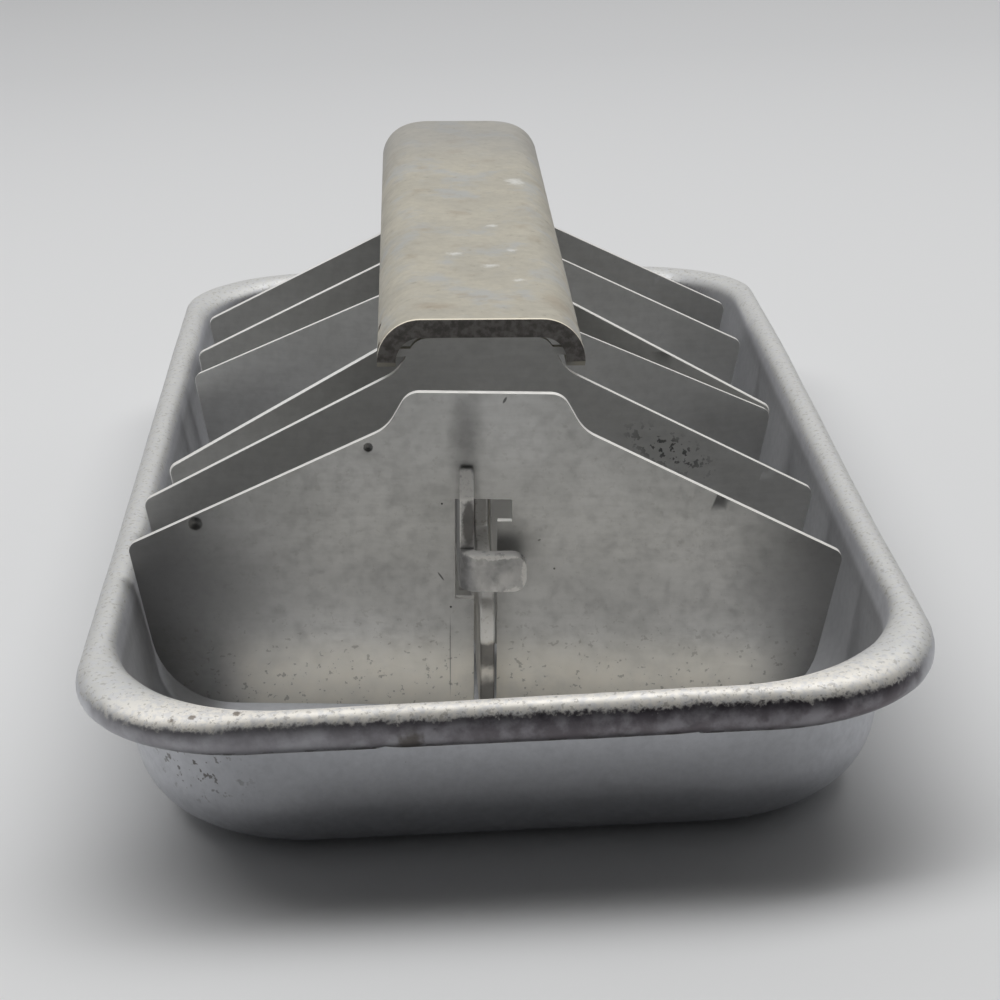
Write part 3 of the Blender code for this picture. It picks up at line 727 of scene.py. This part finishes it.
def plate_metal(index):
    """Rolled sheet, dull on its faces and bright on its cut edges.

    Each plate's tone is painted for the light that reaches it among the others. The first plate has
    a bare look above, painted shade to both sides and across its middle, a speckled warm crust of
    lime low down that is also painted pale as light falling on it there, and a painted shadow above
    its slot. The second is painted light where the first plate's slot shows it.
    """
    # each plate's tone is painted lighter or darker for how much light reaches it among the others
    painted_light_tones = (0.60, 0.92, 0.70, 0.85, 0.80, 0.72)
    tone = painted_light_tones[index]
    bright, dull = (tone, tone, tone * 0.99), (0.86 * tone, 0.86 * tone, 0.84 * tone)
    material, tree, place, colour, rough = aluminium(
        f"stamped sheet {index + 1}", bright, dull, (0.36, 0.48),
        cloud=0.03, drawn=(0.15, 1, 1), pits=0.0, relief=0.5,
    )
    through = parts_of(tree, coordinate(tree, "Normal"))["Z"]
    cut_edge = ramp(tree, times(tree, through, through), 0.35, 0.80, 1, 0)
    if index == 0:
        apart = parts_of(tree, place)
        across_it, up_it = apart["X"], apart["Y"]

        # painted shade: darker to both sides and in a band across the middle, where its reflections
        # are darker
        shade = ramp(tree, across_it, -0.0510, -0.0340, 0.75, 0)
        colour = mixed(tree, shade, colour, (0.13, 0.13, 0.13))
        shade = ramp(tree, across_it, 0.0380, 0.0520, 0, 0.6)
        colour = mixed(tree, shade, colour, (0.13, 0.13, 0.13))
        middle = times(tree, ramp(tree, up_it, 0.010, 0.018), ramp(tree, up_it, 0.020, 0.030, 1, 0))
        colour = mixed(tree, times(tree, middle, 0.55), colour, (0.36, 0.36, 0.36))

        # lime low down, also painted pale as light falling there, with dark specks, and a painted
        # shadow above the slot
        low = ramp(tree, up_it, 0.0045, 0.0135, 1, 0)
        low = times(tree, low, ramp(tree, across_it, -0.0420, -0.0335))
        low = times(tree, low, ramp(tree, across_it, 0.0380, 0.0500, 1, 0))
        # painted light over lime: the crust's pale colour also stands in for light on the plate's
        # low part
        crust = times(tree, low, ramp(tree, grain(tree, place, 0.012, 6), 0.30, 0.55, 0.70, 1))
        cloudy = ramp(tree, grain(tree, place, 0.004, 5), 0.3, 0.7)
        lime_and_light = mixed(tree, cloudy, (1.0, 0.96, 0.87), (0.95, 0.92, 0.84))
        colour = mixed(tree, crust, colour, lime_and_light)
        near_low = ramp(tree, up_it, 0.0060, 0.0180, 1, 0.25)
        specks = times(tree, near_low, ramp(tree, grain(tree, place, 0.0010, 2), 0.63, 0.68))
        colour = mixed(tree, times(tree, specks, 0.45), colour, (0.22, 0.21, 0.19))
        # painted shadow of the bar's end above the slot
        shade = mark(tree, place, (-0.0028, 0.044, 0), (0.0035, 0.012, 0.01), 0.9)
        colour = mixed(tree, times(tree, shade, 0.55), colour, (0.15, 0.15, 0.15))

        # two knocks, then each scratch: its place, size, turn and strength
        for x, y, radius, _ in plate_dents[0]:
            chip = mark(tree, place, (x, y - plate_foot, 0), (radius, radius, 0.01), 0.25, 0.4, 0.3)
            colour = mixed(tree, times(tree, chip, 0.8), colour, (0.09, 0.09, 0.085))
        scratches = (
            ((-0.0052, 0.0085), (0.00013, 0.0080), 0, 0.5),
            ((-0.0066, 0.0215), (0.00018, 0.0010), 0.6, 0.8),
            ((0.0029, 0.0496), (0.00025, 0.0007), -0.5, 0.8),
            ((-0.0051, 0.0165), (0.00022, 0.00022), 0, 1.0),
            ((-0.0064, 0.0332), (0.00020, 0.00020), 0, 1.0),
            ((0.0105, 0.0230), (0.00022, 0.00022), 0, 0.8),
            ((0.0082, 0.0276), (0.00030, 0.00015), 0.4, 0.6),
        )
        for (x, y), (wide, high), turn, strength in scratches:
            line = mark(tree, place, (x, y, 0), (wide, high, 0.01), 0.5, turn)
            colour = mixed(tree, times(tree, line, strength), colour, (0.07, 0.07, 0.07))
    if index == lever_plate:
        # painted light where the first plate's slot shows it, and peppered on its right slope
        painted_light_in_slot = mark(tree, place, (0.002, 0.021, 0), (0.009, 0.011, 0.01), 0.4)
        colour = mixed(tree, times(tree, painted_light_in_slot, 0.8), colour, (1.0, 0.99, 0.96))
        pepper = mark(tree, place, (0.030, 0.033, 0), (0.011, 0.004, 0.01), 0.9, -0.45)
        pepper = times(tree, pepper, ramp(tree, grain(tree, place, 0.0010, 2), 0.56, 0.60))
        colour = mixed(tree, times(tree, pepper, 0.85), colour, (0.06, 0.06, 0.06))
    colour = mixed(tree, cut_edge, colour, (0.84, 0.83, 0.80))
    tree.nodes["Principled BSDF"].inputs["Metallic"].default_value = 0.95 if index == 0 else 0.45
    finish_metal(tree, colour, rough)
    return material


for index, place_y in enumerate(plate_places):
    rings = [
        Vector((x + ring * cos(turn), y - plate_foot + ring * sin(turn)))
        for x, y, radius, _ in plate_dents.get(index, ())
        for ring in (radius * reach for reach in (0.25, 0.55, 0.85, 1.15))
        for turn in (part * pi / 6 for part in range(12))
    ]
    blank = sheet_blank(plate_outline(index), plate_sheet, plate_bend(index), rings)
    plate = object_from(blank, f"plate_{index + 1}", plate_metal(index))
    turned = Matrix.Rotation(plate_turns[index], 4, "Z") @ upright
    stand = Matrix.Translation((plate_plays[index], place_y, plate_foot))
    plate.matrix_world = grid_matrix @ stand @ turned
    eased(plate, edge_wear)
    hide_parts(f"cross_plate_{index + 1}")
    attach(plate, "grid" if index == lever_plate else f"plate_{index + 1}")


# Lower bar. A plain strip on edge through the middle of the grid, which spaces the plates along
# their slots. Its end stands out in front of the first plate, rounded, and worn bright on top and
# painted pale there as a highlight. Its riser is painted light, and its nose painted dark as shade.

lower_nose_reach = 0.0080
lower_nose_top = -0.0025
lower_nose_round = 0.0045
notch_play = 0.0006
seat_gap = 0.0003
bar_edge_wear = 0.0003


def bar_metal(name, bright, dull, worn_and_lit=(), painted_shade=(), tarnish=0.0):
    """Rolled strip, coarse and mottled, with dark grime in its hollows.

    The worn patches (centre and size) are rubbed bright and painted pale as highlights and light,
    and the shade patches are painted dark as shade.
    """
    material, tree, place, colour, rough = aluminium(
        name, bright, dull, (0.36, 0.52), cloud=0.005, pits=0.35, relief=1.5
    )
    grime = ramp(tree, grain(tree, place, 0.0022, 5), 0.50, 0.66, 0, 0.32)
    colour = mixed(tree, grime, colour, tuple(0.35 * c for c in dull))
    shine = None
    # painted shade patches
    for centre, size in painted_shade:
        patch = mark(tree, place, centre, size, 0.4, 0, 0.5)
        colour = mixed(tree, times(tree, patch, 0.85), colour, (0.12, 0.115, 0.11))
    # painted highlights and light, partly wear
    for centre, size in worn_and_lit:
        patch = mark(tree, place, centre, size, 0.25, 0, 0.5)
        blotch = times(tree, patch, ramp(tree, grain(tree, place, 0.0008, 3), 0.34, 0.48, 0.55, 1))
        colour = mixed(tree, blotch, colour, (1.0, 0.985, 0.95))
        shine = blotch if shine is None else times(tree, shine, blotch, "MAXIMUM")
    shader = tree.nodes["Principled BSDF"]
    shader.inputs["Metallic"].default_value = 1 - tarnish
    if shine is not None:
        tree.links.new(ramp(tree, shine, 0, 1, 1 - tarnish, 0), shader.inputs["Metallic"])
    finish_metal(tree, colour, rough)
    return material


lower_nose = plate_places[0] - lower_nose_reach
lower_tail = plate_places[-1] + lower_nose_reach
rise = plate_places[lever_plate] + plate_sheet / 2 + seat_gap
fall = plate_places[-1] - plate_sheet / 2 - seat_gap - bar_sheet
bar_top = slot_top - notch_play
lower_outline = rounded(
    [
        (lower_nose, plate_foot, lower_nose_round),
        (lower_tail, plate_foot, lower_nose_round),
        (lower_tail, lower_nose_top, lower_nose_round),
        (fall, lower_nose_top, 0),
        (fall, bar_top, 0),
        (rise, bar_top, 0),
        (rise, lower_nose_top, 0),
        (lower_nose, lower_nose_top, lower_nose_round),
    ]
)
on_edge = Matrix.Rotation(pi / 2, 4, "Z") @ upright
lower_blank = sheet_blank(lower_outline, bar_sheet, lambda x, y: 0)
# painted highlight on the nose's top, and painted light on the riser in its dark hollow
lower_worn_and_lit = (
    ((lower_nose, lower_nose_top - 0.0020, 0), (0.0060, 0.0050, 0.01)),
    ((rise, lower_nose_top, 0), (0.0400, 0.0060, 0.01)),
)
# painted shade on the nose, in its middle and near its foot
lower_painted_shade = (
    ((lower_nose, lower_nose_top - 0.0085, 0), (0.003, 0.0024, 0.01)),
    ((lower_nose, plate_foot + 0.0040, 0), (0.003, 0.0050, 0.01)),
)
lower_metal = bar_metal(
    "lower strip", (0.84, 0.80, 0.72), (0.62, 0.60, 0.55), lower_worn_and_lit, lower_painted_shade, tarnish=0.55
)
lower_bar = object_from(lower_blank, "lower_strip", lower_metal)
lower_bar.matrix_world = grid_matrix @ Matrix.Translation((lower_bar_middle, 0, 0)) @ on_edge
eased(lower_bar, bar_edge_wear)
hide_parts("lower_bar")
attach(lower_bar, "grid")


# Slide bar. A notched strip beside the lower one, which the lever draws back. Its end is folded
# a quarter turn across the first plate as a tab, and above that it is knocked back at its top.

slide_nose_reach = 0.0036
slide_tail_reach = 0.0070
slide_travel = 0.0041
slide_top = 0.0163
slide_nose_round = 0.0021
nose_lean = 0.0022
nose_slope = 0.0038
nose_step_reach = 0.0022
tab_bottom = -0.0014
tab_top = 0.0044
tab_end = 0.0052
tab_bend = 0.0009
tab_corner_round = 0.0021
tab_front = 0.0018
cam_reach = 0.0043
cam_drop = 0.0066
cam_nose_radius = 0.0015
cam_play = 0.0006
cam_body_height = 0.0034
fork_horn = 0.0013
fork_rear_horn = 0.0024
fork_front_top = 0.0236
lever_sheet = 0.0029
lever_top = 0.0327
web_under = lever_top - lever_sheet - pivot_height


def notch_at(index):
    """Near and far side of the slide bar's notch for a plate. The lever's plate lets it travel."""
    turn = plate_turns[index]
    middle = plate_places[index] + (slide_bar_middle - plate_plays[index]) * tan(turn)
    half = (plate_sheet / cos(turn) + bar_sheet * abs(tan(turn))) / 2 + notch_play
    return middle - half - (slide_travel if index == lever_plate else 0), middle + half


slide_nose = plate_places[0] - slide_nose_reach
slide_tail = plate_places[-1] + slide_tail_reach
slide_bottom = slot_step + seat_gap
nose_step = plate_places[0] + nose_step_reach
fork_nose = plate_places[lever_plate] + cam_reach
fork_half = cam_nose_radius + cam_play
fork_floor = pivot_height - cam_drop - fork_half
fork_rear_top = pivot_height + web_under - seat_gap - cam_body_height - cam_play
fork = [
    (fork_nose + fork_half + 2 * fork_rear_horn, slide_top, 0),
    (fork_nose + fork_half + fork_rear_horn, fork_floor, 0),
    (fork_nose + fork_half + fork_rear_horn, fork_rear_top, 0),
    (fork_nose + fork_half, fork_rear_top, 0),
    (fork_nose + fork_half, fork_floor, 0),
    (fork_nose - fork_half, fork_floor, 0),
    (fork_nose - fork_half, fork_front_top, 0),
    (fork_nose - fork_half - fork_horn, fork_front_top, 0),
    (fork_nose - fork_half - fork_horn, bar_top, 0),
]
slide_corners = [
    (slide_nose, tab_top, 0),
    (slide_nose, tab_bottom, 0),
    (nose_step, tab_bottom, 0),
    (nose_step, slide_bottom, 0),
    (slide_tail, slide_bottom, slide_nose_round),
    (slide_tail, slide_top, slide_nose_round),
]
for index in reversed(range(len(plate_places))):
    near, far = notch_at(index)
    slide_corners += fork if index == lever_plate else [(far, slide_top, 0), (far, bar_top, 0)]
    slide_corners += [(near, bar_top, 0), (near, slide_top, 0)]
slide_corners.append((slide_nose + nose_lean, slide_top, nose_lean / 4))
slide_corners.append((slide_nose, slide_top - nose_slope, nose_lean / 2))
slide_blank = bmesh.new()
slide_left = slide_bar_middle - bar_sheet / 2
slide_outline = [slide_blank.verts.new((slide_left, y, z)) for y, z in rounded(slide_corners, 6)]
side = slide_blank.faces.new(slide_outline)
grown = bmesh.ops.extrude_face_region(slide_blank, geom=[side])["geom"]
grown = [part for part in grown if isinstance(part, bmesh.types.BMVert)]
bmesh.ops.translate(slide_blank, vec=(bar_sheet, 0, 0), verts=grown)
tab_middle = Vector((slide_bar_middle, slide_nose, (tab_top + tab_bottom) / 2))
end = min(slide_blank.faces, key=lambda face: (face.calc_center_median() - tab_middle).length)
hinge = Vector((slide_bar_middle + bar_sheet / 2 + tab_bend, slide_nose, 0))
bend_steps = 10
for step in range(bend_steps + 1):
    end = bmesh.ops.extrude_discrete_faces(slide_blank, faces=[end])["faces"][0]
    if step < bend_steps:
        fold = Matrix.Rotation(pi / 2 / bend_steps, 3, "Z")
        bmesh.ops.rotate(slide_blank, cent=hinge, matrix=fold, verts=end.verts)
    else:
        bmesh.ops.translate(slide_blank, vec=(tab_end - hinge.x, 0, 0), verts=end.verts)
corners = [edge for edge in end.edges if abs(edge.verts[0].co.z - edge.verts[1].co.z) < 1e-6]
bmesh.ops.bevel(
    slide_blank, geom=corners, offset=tab_corner_round, segments=8, profile=0.5, affect="EDGES"
)
tab_face = slide_nose - tab_front
# painted highlights on the nose's top and side and along the tab's edges, partly wear
nose_worn_and_lit = (
    ((slide_bar_middle - 0.0004, slide_nose, slide_top - 0.0018), (0.0026, 0.0036, 0.0030)),
    ((slide_bar_middle - 0.0012, slide_nose, 0.0100), (0.0004, 0.0030, 0.0080)),
    ((0.0006, tab_face, tab_top), (0.0052, 0.0024, 0.0009)),
    ((tab_end, tab_face, 0.0014), (0.0010, 0.0024, 0.0034)),
    ((0.0036, tab_face, tab_bottom), (0.0022, 0.0024, 0.0009)),
)
# painted shade on the nose's face and on the tab's face
nose_painted_shade = (
    ((slide_bar_middle + 0.0003, slide_nose, 0.0085), (0.0012, 0.0012, 0.0046)),
    ((0.0032, tab_face, 0.0020), (0.0014, 0.0009, 0.0011)),
)
slide_metal = bar_metal(
    "slide strip", (0.66, 0.65, 0.64), (0.46, 0.46, 0.46), nose_worn_and_lit, nose_painted_shade, tarnish=0.4
)
slide_bar = object_from(slide_blank, "slide_strip", slide_metal)
slide_bar.matrix_world = grid_matrix
eased(slide_bar, bar_edge_wear)
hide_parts("slide_bar")
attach(slide_bar, "slide")


# Lever. A channel pressed from thick sheet, closed and rounded at its far end and cut off square at
# the pivot. Handling has given it a warm, blotchy skin, and the cut face has gone dark and rough.

lever_half_width = 0.0162
lever_middle = -0.0007
lever_depth = 0.0079
lever_near_reach = 0.0026
lever_face = lever_top - pivot_height
lever_far_end = 0.1115
lever_edge_round = 0.0068
lever_end_round = 0.0100
lever_corner_cut = 0.0013
pivot_hole_radius = 0.00145
rivet_radius = 0.0007
cam_body_length = 0.0105
rivet_place = (cam_body_length - 2 * rivet_radius, web_under - seat_gap - cam_body_height / 2)
lever_steps = 40
end_steps = 18
edge_steps = 16
drill_length = 0.05
lever_edge_wear = 0.00025

pivot_matrix = grid_matrix @ Matrix.Translation((0, plate_places[lever_plate], pivot_height))
sideways = Matrix.Rotation(pi / 2, 4, "Y")


def lever_ring(inset, height, near_reach=lever_near_reach):
    """Round the lever's plan at this inset, from the near end's right to its left."""
    half = lever_half_width - inset
    far = lever_far_end - plate_places[lever_plate] - inset
    radius = lever_end_round - inset
    run = far - radius + near_reach
    side = [-near_reach + run * step / lever_steps for step in range(lever_steps)]
    plan = [(half, y) for y in side]
    for start, middle in ((0, half - radius), (pi / 2, radius - half)):
        for step in range(end_steps + 1):
            turn = start + pi / 2 * step / end_steps
            plan.append((middle + radius * cos(turn), far - radius + radius * sin(turn)))
    plan += [(-half, y) for y in reversed(side)]
    return [(x + lever_middle, y, height) for x, y in plan]


def rod(radius, length):
    """A plain round rod along its own z, as a bmesh."""
    shape = bmesh.new()
    bmesh.ops.create_cone(
        shape, cap_ends=True, segments=32, radius1=radius, radius2=radius, depth=length
    )
    return shape


def lever_metal():
    """Warm grey skin with bluish clouds, bright scuffs, brown stains and a dark cut face, with
    painted shade at the far end and a painted highlight on the near edge.
    """
    material, tree, place, colour, rough = aluminium(
        "handled channel", (0.53, 0.495, 0.405), (0.44, 0.415, 0.35), (0.42, 0.52),
        cloud=0.010, pits=0.0, relief=0.9,
    )
    blue = ramp(tree, grain(tree, place, 0.008, 5), 0.50, 0.68, 0, 0.65)
    colour = mixed(tree, blue, colour, (0.42, 0.435, 0.44))
    brown = ramp(tree, grain(tree, place, 0.0065, 6), 0.56, 0.72, 0, 0.5)
    colour = mixed(tree, brown, colour, (0.36, 0.30, 0.22))
    flecks = ramp(tree, grain(tree, place, 0.0016, 3), 0.66, 0.72, 0, 0.45)
    colour = mixed(tree, flecks, colour, (0.28, 0.25, 0.21))
    stains = (((0.0120, 0.0090), (0.0045, 0.0060)), ((-0.0080, 0.0050), (0.0050, 0.0030)))
    for (x, y), size in stains:
        stain = mark(tree, place, (x, y, lever_face), (*size, 0.01), 0.9, 0, 1.0)
        colour = mixed(tree, times(tree, stain, 0.5), colour, (0.34, 0.27, 0.19))

    # x and y of each rubbed place, then its width and length in millimetres
    scuffs = ((0.0062, 0.020, 1.6, 1.1), (0.0085, 0.090, 2.4, 4.0), (-0.004, 0.037, 1.8, 1.6))
    scuffs += ((0.0018, 0.029, 2.2, 1.4), (0.0058, 0.039, 1.3, 1.2), (0.003, 0.056, 1.6, 1.2))
    for x, y, wide, long in scuffs:
        size = (0.001 * wide, 0.001 * long, 0.01)
        scuff = mark(tree, place, (x, y, lever_face), size, 0.9, 0.3, 1.6)
        colour = mixed(tree, times(tree, scuff, 0.55), colour, (0.84, 0.85, 0.84))
    along = parts_of(tree, place)["Y"]
    # painted shade where the top curves down at the far end
    far_end_shade = ramp(tree, along, 0.095, 0.134, 0, 0.5)
    colour = mixed(tree, far_end_shade, colour, (0.30, 0.30, 0.30))
    facing = parts_of(tree, coordinate(tree, "Normal"))
    cut_face = ramp(tree, facing["Y"], -0.95, -0.80, 1, 0)
    patchy = ramp(tree, grain(tree, place, 0.0012, 4), 0.35, 0.65)
    crust = mixed(tree, patchy, (0.22, 0.205, 0.195), (0.40, 0.38, 0.36))
    # painted highlight: a thin cream line along the near top edge
    near_edge_highlight = ramp(tree, along, -0.0022, -0.0017, 1, 0)
    near_edge_highlight = times(tree, near_edge_highlight, ramp(tree, facing["Z"], 0, 0.3))
    colour = mixed(tree, near_edge_highlight, colour, (0.86, 0.80, 0.66))
    colour = mixed(tree, cut_face, colour, crust)
    rough = times(tree, rough, times(tree, cut_face, 0.3), "ADD")
    tree.nodes["Principled BSDF"].inputs["Metallic"].default_value = 0.35
    finish_metal(tree, colour, rough)
    return material


edge_middle = lever_face - lever_edge_round
lever_lip = lever_face - lever_depth
lever_rings = [lever_ring(0, lever_lip, lever_near_reach - lever_corner_cut)]
for step in range(edge_steps + 1):
    turn = pi - pi / 2 * step / edge_steps
    inset = lever_edge_round * (1 + cos(turn))
    lever_rings.append(lever_ring(inset, edge_middle + lever_edge_round * sin(turn)))
lever_shape = bmesh.new()
lever_rows = [[lever_shape.verts.new(point) for point in ring] for ring in lever_rings]
for row, after in zip(lever_rows, lever_rows[1:]):
    for i in range(len(row) - 1):
        lever_shape.faces.new((row[i], row[i + 1], after[i + 1], after[i]))
lever_shape.faces.new(lever_rows[-1])
lever = object_from(lever_shape, "lever", lever_metal())
lever.matrix_world = pivot_matrix
lever_thickness = lever.modifiers.new("Sheet", "SOLIDIFY")
lever_thickness.thickness = lever_sheet
lever_thickness.offset = -1
lever_thickness.use_even_offset = True
holes = {"pivot": (pivot_hole_radius, (0, 0)), "rivet": (rivet_radius + seat_gap, rivet_place)}
for name, (radius, (y, z)) in holes.items():
    cutter = object_from(rod(radius, drill_length), f"{name} drill", lever.data.materials[0])
    cutter.matrix_world = pivot_matrix @ Matrix.Translation((0, y, z)) @ sideways
    hole = lever.modifiers.new(f"{name} hole", "BOOLEAN")
    hole.object = cutter
bpy.context.view_layer.update()
bored = bpy.data.meshes.new_from_object(lever.evaluated_get(bpy.context.evaluated_depsgraph_get()))
lever.modifiers.clear()
lever.data = bored
for name in holes:
    bpy.data.objects.remove(bpy.data.objects[f"{name} drill"])
eased(lever, lever_edge_wear)
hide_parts("lever_handle")
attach(lever, "lever")


# Cam arm and its cross pin. A small stamped arm under the lever, whose round nose sits in the slide
# bar's fork, held by a pin that was filed off level with the lever's sides.

pin_inset = 0.0010
pin_edge_wear = 0.0002
cam_near = cam_reach - cam_nose_radius
cam_far = cam_reach + cam_nose_radius
cam_tip = -cam_drop - cam_nose_radius
cam_top = web_under - seat_gap
cam_tip_round = 0.98 * cam_nose_radius
cam_outline = rounded(
    [
        (cam_near, cam_tip, cam_tip_round),
        (cam_far, cam_tip, cam_tip_round),
        (cam_far, cam_top - cam_body_height, 0),
        (cam_body_length, cam_top - cam_body_height, 0.0012),
        (cam_body_length, cam_top, 0.0008),
        (cam_near, cam_top, 0.0008),
    ]
)
cam_blank = sheet_blank(cam_outline, bar_sheet, lambda x, y: 0)
cam_metal = bar_metal("cam arm", (0.66, 0.66, 0.65), (0.50, 0.50, 0.50))
cam = object_from(cam_blank, "cam_arm", cam_metal)
cam.matrix_world = pivot_matrix @ Matrix.Translation((slide_bar_middle, 0, 0)) @ on_edge
eased(cam, lever_edge_wear)
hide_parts("lever_cam")
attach(cam, "lever")

pin_shape = rod(rivet_radius, 2 * (lever_half_width - pin_inset))
pin_metal = bar_metal("cross pin", (0.70, 0.70, 0.70), (0.55, 0.55, 0.55))
pin = object_from(pin_shape, "cross_pin", pin_metal)
pin.matrix_world = pivot_matrix @ Matrix.Translation((lever_middle, *rivet_place)) @ sideways
eased(pin, pin_edge_wear)
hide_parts("cam_rivet")
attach(pin, "lever")
